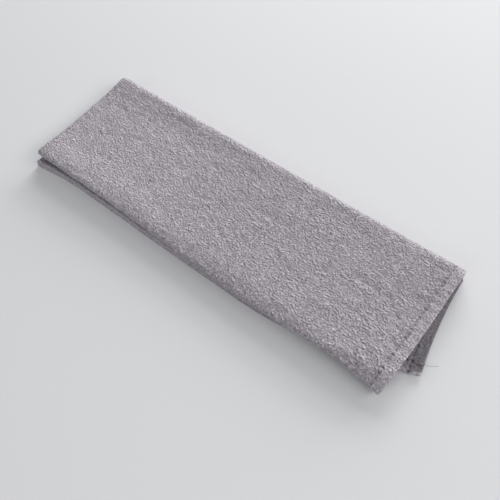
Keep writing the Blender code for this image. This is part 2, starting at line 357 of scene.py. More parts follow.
def fullness(x, y):
    """How high the stack stands, as a share of its plain height: more at the left end and along the folds,
    less at the waist, and in broad waves between."""
    near = near_edge("fold", x)
    across = min(1.0, max(0.0, (y - near) / (FAR_EDGE - near)))
    puff = LEFT_PUFF_NEAR + (LEFT_PUFF_FAR - LEFT_PUFF_NEAR) * across
    share = 1 + puff * math.exp(-(((x - LEFT_END) / LEFT_PUFF_LENGTH) ** 2))
    by_hem = math.exp(-(((x - RIGHT_END) / HEM_PUFF_LENGTH) ** 2))
    share += HEM_PUFF * by_hem * smooth(HEM_PUFF_FROM, 1.0, across)
    share -= WAIST * (1 - smooth(0, WAIST_HALF_LENGTH, abs(x)))
    dish = DISH_LEFT + (DISH_RIGHT - DISH_LEFT) * smooth(*DISH_CHANGE, x)
    share += dish * (abs(2 * across - 1) ** DISH_POWER - DISH_SUNK)
    share -= EDGE_SLOPE * (1 - smooth(0, EDGE_SLOPE_WIDTH, y - near))
    share -= EDGE_SLOPE * (1 - smooth(0, EDGE_SLOPE_WIDTH, FAR_EDGE - y))
    share -= NEAR_ROUND * (1 - smooth(*NEAR_ROUND_END, x)) * (1 - smooth(0, NEAR_ROUND_WIDTH, y - near))
    share -= trough_depth(x, y)
    return share + ROLL * math.sin(math.tau * x / ROLL_LENGTH) * math.sin(math.pi * across)


def press(x, y):
    """How much of their height the lower two levels lose at the near left corner."""
    near = near_edge("fold", x)
    by_length = 1 - smooth(0, PRESS_LENGTH, x - LEFT_END)
    return PRESS * by_length * (1 - smooth(near, near + PRESS_DEPTH, y))


def rise(x, y):
    """How far the upper two levels are lifted: they gape at the near left, and sag where they overhang."""
    near = near_edge("fold", x)
    gape = GAPE * (1 - smooth(near, near + GAPE_DEPTH, y)) * smooth(*GAPE_CHANGE, x)
    support = near_edge("lower_0", x) - PLY
    return gape - SAG * min(1.0, max(0.0, support - y) / SAG_WIDTH) ** SAG_POWER


def settled(x, y, z):
    """The same point in the stack as it lies, centred on the origin."""
    between = (level_height(1) + level_height(2)) / 2
    middle = (level_height(2) + level_height(3)) / 2
    upper = smooth(between - PITCH / 4, between + PITCH / 4, z)
    share = fullness(x, y) * (1 - (1 - upper) * press(x, y))
    slope = (rise(x, y + SLOPE_STEP) - rise(x, y - SLOPE_STEP)) / (2 * SLOPE_STEP)
    tilt = upper * math.atan(slope)
    away = (z - middle) * share
    height = BASE + (middle - BASE) * share + upper * rise(x, y)
    past_end = max(0.0, x - CORNER_START)
    height -= (1 - upper) * CORNER_DROOP * (1 - math.exp(-((past_end / CORNER_LENGTH) ** CORNER_POWER)))
    height += (1 - upper) * CORNER_CURL * (past_end / CORNER_REACH) ** 2
    return Vector((x - MIDDLE[0], y - away * math.sin(tilt) - MIDDLE[1], height + away * math.cos(tilt)))


def creased(folded, angle):
    """The height of the creases at a point of the folded cloth: they are in its top level."""
    x, y, z = folded
    top = smooth(level_height(2), level_height(3), z) * (1 + math.cos(angle)) / 2
    if not top:
        return 0.0
    total = 0.0
    for row in CREASES:
        crease = dict(zip(CREASE_COLUMNS, row))
        if (x - crease["x"]) ** 2 + (y - crease["y"]) ** 2 <= CREASE_REACH * crease["length"] ** 2:
            lengthwise, sideways = within(crease, x, y)
            total += crease["height"] * math.exp(-(lengthwise**4) - sideways**2)
    return top * total


# Relief of the cloth, in millimetres, at a place on the flat cloth in millimetres. The third coordinate of
# each noise only keeps its draws apart from the others

# Soft broken ridges: the ways that they run in, in radians, each with its weight
CRUSH_WAYS = ((-0.9, 1.0), (-0.35, 1.3), (0.25, 1.2), (0.85, 1.0), (1.5, 0.6))
CRUSH_PATCH = 19
CRUSH_LENGTH = 11
CRUSH_WIDTH = 3.6
CRUSH_SPREAD = 0.25  # how far one patch runs into the next
CRUSH_LEAST = 0.02  # the least total weight, so that nothing is divided by 0
CRUSH_ON_HEM = 0.35  # the share of the ridges that the hem keeps

HEM_STEP = (0.9, 0.5)  # the hem's step runs from this far before the seam to this far past it
CALM_REACH = 8  # how far past the seam the ridges are still held down
PUCKER_REACH = 16
PUCKER_LENGTH = 15
PUCKER_WIDTH = 2.6


def crush(p, q):
    """Soft broken ridges, each patch running its own way, from -1 to 1."""
    total = weight_sum = 0.0
    for k, (turn, weight) in enumerate(CRUSH_WAYS):
        along = p * math.cos(turn) + q * math.sin(turn)
        across = q * math.cos(turn) - p * math.sin(turn)
        here = max(0.0, CRUSH_SPREAD + noise.noise(Vector((p / CRUSH_PATCH, q / CRUSH_PATCH, 7.3 * k))))
        here = weight * here * here
        total += here * noise.noise(Vector((along / CRUSH_LENGTH, across / CRUSH_WIDTH, 3.1 + 5.7 * k)))
        weight_sum += here
    return 2 * total / max(weight_sum, CRUSH_LEAST)


def relief(p, q, settings):
    """The hem's step, the ripples beside its seam and the soft ridges, together."""
    from_end = min(p, FLAT_ALONG / MM - p)
    from_edge = min(q, FLAT_ACROSS / MM - q)
    hem = settings.hem_width / MM
    step = (hem - HEM_STEP[0], hem + HEM_STEP[1])
    raised = max(1 - smooth(*step, from_end), 1 - smooth(*step, from_edge))
    by_end, by_edge = (1 - smooth(hem, hem + PUCKER_REACH, inward) for inward in (from_end, from_edge))
    pucker = by_end * noise.noise(Vector((p / PUCKER_LENGTH, q / PUCKER_WIDTH, 40.0)))
    pucker += by_edge * noise.noise(Vector((p / PUCKER_WIDTH, q / PUCKER_LENGTH, 60.0)))
    calm = smooth(0, hem + CALM_REACH, min(from_end, from_edge))
    return (
        settings.hem_rise / MM * raised
        + settings.pucker_depth / MM * 2 * pucker
        + settings.crush_depth / MM * crush(p, q) * (CRUSH_ON_HEM + (1 - CRUSH_ON_HEM) * calm)
    )


# Materials


def new_material(name):
    material = bpy.data.materials.new(name)
    material.use_nodes = True
    return material, material.node_tree, material.node_tree.nodes["Principled BSDF"]


def add(tree, kind, inputs=None, **settings):
    """A node with its settings, and its inputs by name or number: a value, or a socket to link from."""
    made = tree.nodes.new(kind)
    for key, value in settings.items():
        setattr(made, key, value)
    for key, value in (inputs or {}).items():
        socket = made.inputs[key]
        if isinstance(value, bpy.types.NodeSocket):
            tree.links.new(value, socket)
        else:
            socket.default_value = value
    return made


def maths(tree, operation, *values):
    """The result of a math node on numbers or sockets."""
    return add(tree, "ShaderNodeMath", dict(enumerate(values)), operation=operation).outputs[0]


def vectors(tree, operation, first, second):
    """The result of a vector math node. The second value of SCALE is a number."""
    key = "Scale" if operation == "SCALE" else 1
    return add(tree, "ShaderNodeVectorMath", {0: first, key: second}, operation=operation).outputs[0]


def mixed(tree, share, first, second):
    """The first colour, turning into the second one as the share goes from 0 to 1."""
    inputs = {"Factor": share, "A": first, "B": second}
    return add(tree, "ShaderNodeMix", inputs, data_type="RGBA").outputs["Result"]


def ramp_between(tree, value, low, high, to_low=0.0, to_high=1.0):
    """An S-curve from to_low, where the value is low, to to_high, where it is high."""
    made = add(
        tree,
        "ShaderNodeMapRange",
        {"Value": value, "From Min": low, "From Max": high, "To Min": to_low, "To Max": to_high},
        interpolation_type="SMOOTHSTEP",
    )
    return made.outputs["Result"]


def flat_noise(tree, place, scale, detail, **more):
    """A noise node on the flat cloth. More of its inputs can be given by name."""
    inputs = {"Vector": place, "Scale": scale, "Detail": detail, **more}
    return add(tree, "ShaderNodeTexNoise", inputs, noise_dimensions="2D")


def stirred(tree, place, scale, detail, reach):
    """The place, moved about by a noise."""
    noisy = flat_noise(tree, place, scale, detail).outputs["Color"]
    moved = vectors(tree, "SCALE", vectors(tree, "SUBTRACT", noisy, (0.5, 0.5, 0.5)), reach)
    return vectors(tree, "ADD", place, moved)


def new_group(name, inputs, outputs):
    """An empty node group. Inputs are (name, socket kind, default), outputs (name, socket kind)."""
    group = bpy.data.node_groups.new(name, "ShaderNodeTree")
    for label, kind, default in inputs:
        socket = group.interface.new_socket(label, in_out="INPUT", socket_type=kind)
        if default is not None:
            socket.default_value = default
    for label, kind in outputs:
        group.interface.new_socket(label, in_out="OUTPUT", socket_type=kind)
    return group, group.nodes.new("NodeGroupInput"), group.nodes.new("NodeGroupOutput")


FLOAT, VECTOR = "NodeSocketFloat", "NodeSocketVector"

# Sets of crinkles: direction in degrees, length and width against the ridge spacing, and weight
CRINKLE_WAYS = (
    (-6, 1.7, 0.64, 1.0),
    (-33, 1.4, 0.60, 0.9),
    (24, 1.4, 0.60, 0.8),
    (72, 1.1, 0.60, 0.5),
)
CRINKLE_STIR = 1.8  # how far the ridges wander, in millimetres
PATCH_CHANGE = (0.36, 0.60)  # the values of the noise between which a patch gives way to the next
PATCH_LEAST = 0.6  # the share of a set that is left outside its own patches
ROUGHNESS_OF_RIDGES = 0.12  # how much of the finest relief the mask of the ridges takes in
RIDGE_HEIGHTS = (0.02, 0.32)  # the heights at the foot and at the top of the ridges


@functools.lru_cache(maxsize=None)
def crinkle_group():
    """Crinkles of crepe cloth: puffed ridges with sharp creases between them, mostly along the strip, in
    patches that each run their own way. Place is in millimetres on the flat cloth."""
    group, given, result = new_group(
        "Crinkle",
        [("Place", VECTOR, None), ("Ridge Spacing", FLOAT, 2.5), ("Patch Size", FLOAT, 14.0)],
        [("Height", FLOAT), ("Fine", FLOAT), ("Ridges", FLOAT)],
    )
    place, spacing, patch = (given.outputs[k] for k in ("Place", "Ridge Spacing", "Patch Size"))
    wandering = stirred(group, place, 0.16, 1.0, CRINKLE_STIR)
    in_ridges = vectors(group, "SCALE", wandering, maths(group, "DIVIDE", 1.0, spacing))
    patches = maths(group, "DIVIDE", 1.0, patch)
    height = None
    for k, (turn, length, width, weight) in enumerate(CRINKLE_WAYS):
        turned = add(
            group,
            "ShaderNodeMapping",
            {
                "Vector": in_ridges,
                "Location": (11.3 * k, 7.7 * k, 0.0),
                "Rotation": (0.0, 0.0, math.radians(turn)),
                "Scale": (length, width, 1.0),
            },
            vector_type="TEXTURE",
        ).outputs[0]
        folds = flat_noise(group, turned, 1.0, 1.0, Roughness=0.45, Distortion=0.12).outputs["Fac"]
        puffed = maths(group, "ABSOLUTE", maths(group, "SUBTRACT", folds, 0.5))
        shifted = vectors(group, "ADD", place, (31.0 * k, 17.0 * k, 0.0))
        way = flat_noise(group, shifted, patches, 1.0, Roughness=0.4).outputs["Fac"]
        strong = ramp_between(group, way, *PATCH_CHANGE, PATCH_LEAST * weight, weight)
        part = maths(group, "MULTIPLY", puffed, strong)
        height = part if height is None else maths(group, "ADD", height, part)
    fine = maths(group, "SUBTRACT", flat_noise(group, place, 0.75, 2.0, Roughness=0.6).outputs["Fac"], 0.5)
    rough = maths(group, "MULTIPLY_ADD", fine, ROUGHNESS_OF_RIDGES, height)
    group.links.new(height, result.inputs["Height"])
    group.links.new(fine, result.inputs["Fine"])
    group.links.new(ramp_between(group, rough, *RIDGE_HEIGHTS), result.inputs["Ridges"])
    return group


SLUB_STRETCH = (0.05, 1.9)  # how finely thick and thin places change along a yarn and across it


@functools.lru_cache(maxsize=None)
def weave_group():
    """Plain weave of uneven yarns. Place is in millimetres on the flat cloth."""
    group, given, result = new_group(
        "Plain weave",
        [("Place", VECTOR, None), ("Yarn Spacing", FLOAT, 0.5), ("Unevenness", FLOAT, 0.25)],
        [("Height", FLOAT), ("Yarn Tone", FLOAT)],
    )
    place, spacing, uneven = (given.outputs[k] for k in ("Place", "Yarn Spacing", "Unevenness"))
    sides = add(group, "ShaderNodeSeparateXYZ", {0: stirred(group, place, 0.35, 2.0, uneven)})
    over = maths(group, "DIVIDE", math.pi, spacing)
    sin_u, sin_v = (
        maths(group, "SINE", maths(group, "MULTIPLY", sides.outputs[side], over)) for side in ("X", "Y")
    )
    crossing = maths(group, "MULTIPLY", sin_u, sin_v)
    warp = maths(group, "MULTIPLY_ADD", crossing, 0.5, maths(group, "ABSOLUTE", sin_u))
    weft = maths(group, "MULTIPLY_ADD", crossing, -0.5, maths(group, "ABSOLUTE", sin_v))
    slubs = []
    for stretch in (SLUB_STRETCH, SLUB_STRETCH[::-1]):
        stretched = add(group, "ShaderNodeMapping", {"Vector": place, "Scale": (*stretch, 1.0)}).outputs[0]
        slubs.append(flat_noise(group, stretched, 1.0, 2.0).outputs["Fac"])
    tone = maths(group, "MULTIPLY", maths(group, "ADD", *slubs), 0.5)
    group.links.new(maths(group, "MAXIMUM", warp, weft), result.inputs["Height"])
    group.links.new(tone, result.inputs["Yarn Tone"])
    return group


# The seam, in millimetres: the middle and the rim of its groove, of a needle hole and of the cloth's edge
GROOVE_RIM = (0.2, 1.1)
HOLE_RIM = (0.15, 0.95)
EDGE_RIM = (0.3, 1.1)
PAST_SEAM = 1.2  # how far the mask of the doubled cloth runs past the seam
SHALLOWEST = 0.35  # the shallowest needle hole, as a share of the deepest


@functools.lru_cache(maxsize=None)
def seam_group():
    """The hems: a shallow groove along each seam, a needle hole between each stitch and the next, and masks
    of the doubled cloth and of its folded edge."""
    group, given, result = new_group(
        "Hem seam",
        [
            ("Place", VECTOR, None),
            ("Cloth Along", FLOAT, 600.0),
            ("Cloth Across", FLOAT, 380.0),
            ("Hem Width", FLOAT, 7.0),
            ("Stitch Pitch", FLOAT, 3.2),
            ("Pull", FLOAT, 1.7),
        ],
        [("Groove", FLOAT), ("Holes", FLOAT), ("Doubled", FLOAT), ("Edge", FLOAT)],
    )
    sides = add(group, "ShaderNodeSeparateXYZ", {0: given.outputs["Place"]})
    hem, pitch = given.outputs["Hem Width"], given.outputs["Stitch Pitch"]
    grooves, holes, insides = [], [], []
    for near, far, whole in (("X", "Y", "Cloth Along"), ("Y", "X", "Cloth Across")):
        here, beside = sides.outputs[near], sides.outputs[far]
        inward = maths(group, "MINIMUM", here, maths(group, "SUBTRACT", given.outputs[whole], here))
        away = maths(group, "ABSOLUTE", maths(group, "SUBTRACT", inward, hem))
        count = maths(group, "DIVIDE", beside, pitch)
        along = maths(group, "MULTIPLY", maths(group, "PINGPONG", count, 0.5), pitch)
        pulled = maths(group, "DIVIDE", away, given.outputs["Pull"])
        squares = [maths(group, "POWER", side, 2.0) for side in (pulled, along)]
        apart = maths(group, "SQRT", maths(group, "ADD", *squares))
        numbered = maths(group, "ROUND", count)
        chance = add(group, "ShaderNodeTexWhiteNoise", {"W": numbered}, noise_dimensions="1D")
        depth = ramp_between(group, chance.outputs["Value"], 0.0, 0.8, SHALLOWEST, 1.0)
        grooves.append(ramp_between(group, away, *GROOVE_RIM, 1.0, 0.0))
        holes.append(maths(group, "MULTIPLY", ramp_between(group, apart, *HOLE_RIM, 1.0, 0.0), depth))
        insides.append(inward)
    inside = maths(group, "MINIMUM", *insides)
    past = maths(group, "ADD", hem, PAST_SEAM)
    group.links.new(maths(group, "MAXIMUM", *grooves), result.inputs["Groove"])
    group.links.new(maths(group, "MAXIMUM", *holes), result.inputs["Holes"])
    group.links.new(ramp_between(group, inside, hem, past, 1.0, 0.0), result.inputs["Doubled"])
    group.links.new(ramp_between(group, inside, *EDGE_RIM, 1.0, 0.0), result.inputs["Edge"])
    return group


# Between these two places along the flat cloth, in millimetres, its look turns from crisp to calm. The shares
# are for its crisp and its calm part: of the dye's grain, the crinkles and their finest relief
CRISP_TO_CALM = (110.0, 250.0)
GRAIN_SHARES = (1.45, 1.0)
CRINKLE_SHARES = (1.06, 0.92)
FINE_SHARES = (0.32, 0.14)

# Tone of the cloth, where 1 is its plain colour
FLECK_CHANGE = (0.42, 0.66)  # the values of the noise between which the flecks begin
FLECK_MOST = 0.9
YARN_TONE, YARN_LEAST = 0.30, 0.85
BROAD_TONE, BROAD_MIDDLE = 0.06, 0.03
# Paler along the hem's folded edge: partly wear, partly a painted highlight where the edge catches light
EDGE_WEAR_AND_HIGHLIGHT = 0.25
HOLE_SHADE = 0.75

# How wide the change to the painted shade on the lower plies is, in millimetres: at the far and the near
# fold, and from a lower ply's open edge, which has a share of it itself
FAR_SHADE_RAMP, NEAR_SHADE_RAMP = 6, 4
OPEN_SHADE_RAMP = (0.8, 3.2)
OPEN_SHADE_SHARE = 0.2

# Height of the seam's groove and holes, and how much less the crinkles rise on the doubled cloth and the seam
GROOVE_HEIGHT, HOLE_HEIGHT = -0.04, -0.26
ON_DOUBLED, ON_GROOVE = -0.35, -0.30


def crinkled_cotton(settings):
    """Grey crepe cotton, its crinkle tops paler: partly wear from washing, partly painted highlight and
    shade.
    """
    material, tree, shader = new_material("crinkled_cotton")
    mapped = add(tree, "ShaderNodeUVMap", uv_map="cloth").outputs[0]
    place = vectors(tree, "SCALE", mapped, 1 / MM)
    crinkle = add(tree, "ShaderNodeGroup", node_tree=crinkle_group())
    weave = add(tree, "ShaderNodeGroup", node_tree=weave_group())
    seam = add(tree, "ShaderNodeGroup", node_tree=seam_group())
    for made, values in (
        (crinkle, {"Ridge Spacing": settings.ridge_spacing, "Patch Size": settings.patch_size}),
        (weave, {"Yarn Spacing": settings.yarn_spacing}),
        (seam, {"Cloth Along": FLAT_ALONG, "Cloth Across": FLAT_ACROSS}),
        (seam, {"Hem Width": settings.hem_width, "Stitch Pitch": settings.stitch_pitch}),
    ):
        tree.links.new(place, made.inputs["Place"])
        for key, value in values.items():
            made.inputs[key].default_value = value / MM
    sides = add(tree, "ShaderNodeSeparateXYZ", {0: place})
    lengthwise, crosswise = sides.outputs["X"], sides.outputs["Y"]

    def crisp_to_calm(crisp, calm):
        return ramp_between(tree, lengthwise, *CRISP_TO_CALM, crisp, calm)

    dyed = flat_noise(tree, place, 0.75, 1.0).outputs["Fac"]
    flecks = ramp_between(tree, dyed, *FLECK_CHANGE, 0.0, FLECK_MOST)
    colours = (settings.cloth_colour, settings.worn_and_lit_ridge_colour, settings.fleck_colour, settings.hole_shade_colour)
    cloth_colour, worn_and_lit_ridge_colour, fleck_colour, hole_shade_colour = ((*colour, 1.0) for colour in colours)
    # Paler crinkle tops: partly wear, partly a painted highlight on the ridges and painted shade in the
    # creases between them, which the bump cannot cast
    tinted = mixed(tree, crinkle.outputs["Ridges"], cloth_colour, worn_and_lit_ridge_colour)
    tinted = mixed(tree, flecks, tinted, fleck_colour)

    speck = flat_noise(tree, place, 1.1, 1.5, Roughness=0.6).outputs["Fac"]
    graininess = crisp_to_calm(*(share * settings.speckle for share in GRAIN_SHARES))
    grain = maths(tree, "MULTIPLY", maths(tree, "SUBTRACT", speck, 0.5), graininess)
    broad = flat_noise(tree, place, 0.045, 3.0).outputs["Fac"]
    unevenly = maths(tree, "MULTIPLY_ADD", broad, BROAD_TONE, maths(tree, "SUBTRACT", grain, BROAD_MIDDLE))
    yarns = maths(tree, "MULTIPLY_ADD", weave.outputs["Yarn Tone"], YARN_TONE, YARN_LEAST)
    # The hem's folded edge is drawn paler: wear, and a painted highlight
    tone = maths(tree, "MULTIPLY_ADD", seam.outputs["Edge"], EDGE_WEAR_AND_HIGHLIGHT, maths(tree, "ADD", yarns, unevenly))

    # Painted shade: the lower plies, which the folds cover, are drawn darker, as if they lay in shade
    first, last = (edge / MM for edge in EXPOSED)
    shaded_plies = maths(
        tree,
        "MAXIMUM",
        ramp_between(tree, crosswise, first - FAR_SHADE_RAMP, first, 1.0, 0.0),
        ramp_between(tree, crosswise, last, last + NEAR_SHADE_RAMP),
    )
    from_edge = maths(tree, "MINIMUM", crosswise, maths(tree, "SUBTRACT", FLAT_ACROSS / MM, crosswise))
    shaded_plies = maths(tree, "MULTIPLY", shaded_plies, ramp_between(tree, from_edge, *OPEN_SHADE_RAMP, OPEN_SHADE_SHARE, 1.0))
    tone = maths(tree, "MULTIPLY", tone, maths(tree, "MULTIPLY_ADD", shaded_plies, -settings.painted_shade, 1.0))
    toned = vectors(tree, "SCALE", tinted, tone)
    # Painted shade: the needle holes are drawn near black, for the shade that falls into them
    hole_shaded = mixed(tree, maths(tree, "MULTIPLY", seam.outputs["Holes"], HOLE_SHADE), toned, hole_shade_colour)
    tree.links.new(hole_shaded, shader.inputs["Base Color"])
    shader.inputs["Roughness"].default_value = 0.92
    shader.inputs["Specular IOR Level"].default_value = 0.25
    shader.inputs["Sheen Weight"].default_value = 0.12
    shader.inputs["Sheen Roughness"].default_value = 0.5

    holes = maths(tree, "MULTIPLY", seam.outputs["Holes"], HOLE_HEIGHT)
    sunk = maths(tree, "MULTIPLY_ADD", seam.outputs["Groove"], GROOVE_HEIGHT, holes)
    depth = maths(tree, "MULTIPLY_ADD", seam.outputs["Doubled"], ON_DOUBLED, crisp_to_calm(*CRINKLE_SHARES))
    depth = maths(tree, "MULTIPLY_ADD", seam.outputs["Groove"], ON_GROOVE, depth)
    crinkles = maths(tree, "MULTIPLY", crinkle.outputs["Height"], depth)
    finest = crisp_to_calm(*FINE_SHARES)
    crinkles = maths(tree, "MULTIPLY_ADD", crinkle.outputs["Fine"], finest, crinkles)
    normal = None
    for distance, height in (
        (settings.crinkle_depth, maths(tree, "ADD", crinkles, sunk)),
        (settings.weave_depth, weave.outputs["Height"]),
    ):
        inputs = {"Strength": 1.0, "Distance": distance, "Height": height}
        if normal:
            inputs["Normal"] = normal
        normal = add(tree, "ShaderNodeBump", inputs).outputs[0]
    tree.links.new(normal, shader.inputs["Normal"])
    return material


def textured(tree, shader, texture, distance):
    """Lets a texture's noise raise the surface by the distance."""
    bump = add(tree, "ShaderNodeBump", {"Distance": distance, "Height": texture.outputs["Fac"]})
    tree.links.new(bump.outputs[0], shader.inputs["Normal"])


def sewing_thread(settings):
    """Twisted polyester thread, a little darker than the cloth."""
    material, tree, shader = new_material("sewing_thread")
    place = add(tree, "ShaderNodeTexCoord").outputs["Object"]
    twist = add(
        tree,
        "ShaderNodeTexWave",
        {"Vector": place, "Scale": 900.0, "Distortion": 2.0, "Detail": 1.0},
        bands_direction="DIAGONAL",
    )
    shaded = (*settings.thread_colour, 1.0)
    lit = (*(1.5 * c for c in settings.thread_colour), 1.0)
    tree.links.new(mixed(tree, twist.outputs["Fac"], shaded, lit), shader.inputs["Base Color"])
    textured(tree, shader, twist, 0.00005)
    shader.inputs["Roughness"].default_value = 0.6
    return material


def pale_table(settings):
    """A matt, plain table top with a very slight grain."""
    material, tree, shader = new_material("pale_table")
    place = add(tree, "ShaderNodeTexCoord").outputs["Object"]
    mottle = add(tree, "ShaderNodeTexNoise", {"Vector": place, "Scale": 900.0, "Detail": 2.0})
    textured(tree, shader, mottle, 0.00003)
    shader.inputs["Base Color"].default_value = (*settings.table_colour, 1.0)
    shader.inputs["Roughness"].default_value = 0.9
    shader.inputs["Specular IOR Level"].default_value = 0.2
    return material


# Pieces


def finish_piece(name, mesh, material):
    """An object of the finished bmesh, smooth and in its material, at the origin."""
    data = bpy.data.meshes.new(name)
    mesh.to_mesh(data)
    mesh.free()
    data.shade_smooth()
    data.materials.append(material)
    piece = bpy.data.objects.new(name, data)
    bpy.context.scene.collection.objects.link(piece)
    return piece


def folded_sheet(settings):
    """The cloth as a fine grid, folded and given its relief."""
    across, lengthwise = stations(), columns_along()
    mesh = bmesh.new()
    bmesh.ops.create_grid(mesh, x_segments=len(lengthwise) - 1, y_segments=len(across) - 1, size=1.0)
    spots = {}
    for v in mesh.verts:
        column = round((v.co.x + 1) / 2 * (len(lengthwise) - 1))
        row = round((v.co.y + 1) / 2 * (len(across) - 1))
        folded, flat = flat_stack(across[row], lengthwise[column])
        v.co = settled(*folded)
        angle = lengthwise[column][1]
        spots[row, column] = v, flat, angle, creased(folded, angle)
    mesh.normal_update()
    # Seen in the middle of the top level, the faces have to point up
    top_row = next(i for i, step in enumerate(across) if step[1] == 1 and step[2] < 0.5)
    if spots[top_row, len(lengthwise) // 3][0].normal.z < 0:
        bmesh.ops.reverse_faces(mesh, faces=mesh.faces)
        mesh.normal_update()
    coat = mesh.loops.layers.uv.new("cloth")
    flat_of = {v.index: flat for v, flat, _, _ in spots.values()}
    for face in mesh.faces:
        for loop in face.loops:
            loop[coat].uv = flat_of[loop.vert.index]
    for v, (p, q), angle, crease in spots.values():
        height = relief(p / MM, q / MM, settings) * MM * (1 + math.cos(angle)) / 2
        v.co += v.normal * (height + crease * settings.crease_strength)
        v.co.z = max(v.co.z, BASE)  # the cloth lies on the table
    return mesh


class ClothMap:
    """Finds the outside of the outer ply at a place on the flat cloth, from the finished grid."""

    def __init__(self, data):
        across, lengthwise = stations(), columns_along()
        width = len(lengthwise)
        outer = [i for i, (_, angle) in enumerate(lengthwise) if angle < math.pi / 2]
        self.rows = []
        for row, station in enumerate(across):
            line = []
            for column in outer:
                v = data.vertices[row * width + column]
                line.append((v.co.copy(), v.normal.copy(), *flat_stack(station, lengthwise[column])[1]))
            self.rows.append(line)

    def at_column(self, row, p):
        """The middle of the ply, its outward direction and its place on the flat cloth, at p in a row."""
        line = self.rows[row]
        for a, b in zip(line, line[1:]):
            if a[2] <= p <= b[2]:
                t = (p - a[2]) / max(b[2] - a[2], 1e-9)
                return a[0].lerp(b[0], t), a[1].lerp(b[1], t), p, a[3] + (b[3] - a[3]) * t
        return line[0]

    def place(self, p, q):
        """(point on the outside, direction outwards) at p along and q across the flat cloth."""
        low, high = 0, len(self.rows) - 1
        while high - low > 1:
            middle = (low + high) // 2
            if self.at_column(middle, p)[3] <= q:
                low = middle
            else:
                high = middle
        a, b = self.at_column(low, p), self.at_column(high, p)
        t = min(1.0, max(0.0, (q - a[3]) / max(b[3] - a[3], 1e-9)))
        outward = a[1].lerp(b[1], t).normalized()
        return a[0].lerp(b[0], t) + outward * PLY / 2, outward


STITCH_FLATNESS = 0.8
STITCH_BOW = 0.35  # how far a stitch stands up in its middle, against its thickness


def add_stitch(mesh, start, end, outward, thickness):
    """One visible stitch: a thin bead between two needle holes, sunk at both ends."""
    made = bmesh.ops.create_uvsphere(mesh, u_segments=6, v_segments=5, radius=0.5)["verts"]
    length = (end - start).length
    forward = (end - start).normalized()
    side = outward.cross(forward).normalized()
    middle = (start + end) / 2
    for v in made:
        x, y, z = v.co
        up = (y * STITCH_FLATNESS + (1 - (2 * z) ** 2) * STITCH_BOW) * thickness
        v.co = middle + forward * z * length + side * x * thickness + outward * up


def add_thread(mesh, points, thickness):
    """A loose length of thread along the given points."""
    ring = bmesh.ops.create_circle(mesh, cap_ends=True, segments=6, radius=thickness / 2)["verts"]
    faces = {f for v in ring for f in v.link_faces}
    heading = (points[1] - points[0]).normalized()
    turn = Vector((0, 0, 1)).rotation_difference(heading)
    for v in ring:
        v.co = turn @ v.co + points[0]
    face = next(iter(faces))
    for before, here in zip(points, points[1:]):
        grown = bmesh.ops.extrude_face_region(mesh, geom=[face])["geom"]
        face = next(g for g in grown if isinstance(g, bmesh.types.BMFace))
        following = (here - before).normalized()
        turn = heading.rotation_difference(following)
        heading = following
        for v in face.verts:
            v.co = turn @ (v.co - before) + here


def steps(start, end, pitch):
    """Where the stitches begin along a seam: at whole multiples of their pitch."""
    return [pitch * i for i in range(math.ceil(start / pitch), math.floor(end / pitch))]


class NapkinCloth(bpy.types.PropertyGroup):
    cloth_colour: FloatVectorProperty(
        name="Cloth",
        description="Dyed cotton between the crinkles",
        default=(0.432, 0.406, 0.440),
        subtype="COLOR",
    )
    # Tops of the crinkles: paler partly from wear, partly as a painted highlight
    worn_and_lit_ridge_colour: FloatVectorProperty(
        name="Worn",
        description="Tops of the crinkles, paler from washing",
        default=(0.650, 0.613, 0.661),
        subtype="COLOR",
    )
    fleck_colour: FloatVectorProperty(
        name="Flecks", description="Warmer fibres in the yarn", default=(0.478, 0.410, 0.456), subtype="COLOR"
    )
    # Painted shade: how much darker the lower plies are drawn where the folds keep light off; the dye is the
    # same
    painted_shade: FloatProperty(
        name="Painted shade", description="How much deeper the dye is where the folds keep light off", default=0.50
    )
    speckle: FloatProperty(name="Speckle", description="How uneven the dye of single yarns is", default=0.55)
    # Painted shade inside the needle holes
    hole_shade_colour: FloatVectorProperty(
        name="Needle holes",
        description="Inside the needle holes",
        default=(0.070, 0.064, 0.070),
        subtype="COLOR",
    )
    thread_colour: FloatVectorProperty(
        name="Thread", description="Sewing thread", default=(0.255, 0.238, 0.252), subtype="COLOR"
    )
    hem_width: FloatProperty(
        name="Hem width", description="From the edge to the stitches", default=0.0070, unit="LENGTH"
    )
    hem_rise: FloatProperty(
        name="Hem rise", description="How far the doubled hem stands up", default=0.00010, unit="LENGTH"
    )
    stitch_pitch: FloatProperty(
        name="Stitch pitch", description="From one needle hole to the next", default=0.0032, unit="LENGTH"
    )
    thread_thickness: FloatProperty(
        name="Thread thickness", description="Sewing thread, across", default=0.00030, unit="LENGTH"
    )
    pucker_depth: FloatProperty(
        name="Pucker depth", description="Ripples that the seam pulls up", default=0.00022, unit="LENGTH"
    )
    crease_strength: FloatProperty(
        name="Crease strength", description="Depth of the main creases against their plain depth", default=1.0
    )
    crush_depth: FloatProperty(
        name="Crush depth", description="Soft broad creases", default=0.00022, unit="LENGTH"
    )
    crinkle_depth: FloatProperty(
        name="Crinkle depth", description="Height of the fine crinkles", default=0.0042, unit="LENGTH"
    )
    ridge_spacing: FloatProperty(
        name="Ridge spacing", description="From one fine crinkle to the next", default=0.0029, unit="LENGTH"
    )
    patch_size: FloatProperty(
        name="Patch size", description="How far crinkles keep one direction", default=0.014, unit="LENGTH"
    )
    yarn_spacing: FloatProperty(
        name="Yarn spacing", description="From one yarn to the next", default=0.00050, unit="LENGTH"
    )
    weave_depth: FloatProperty(
        name="Weave depth", description="Height of the yarns", default=0.00005, unit="LENGTH"
    )


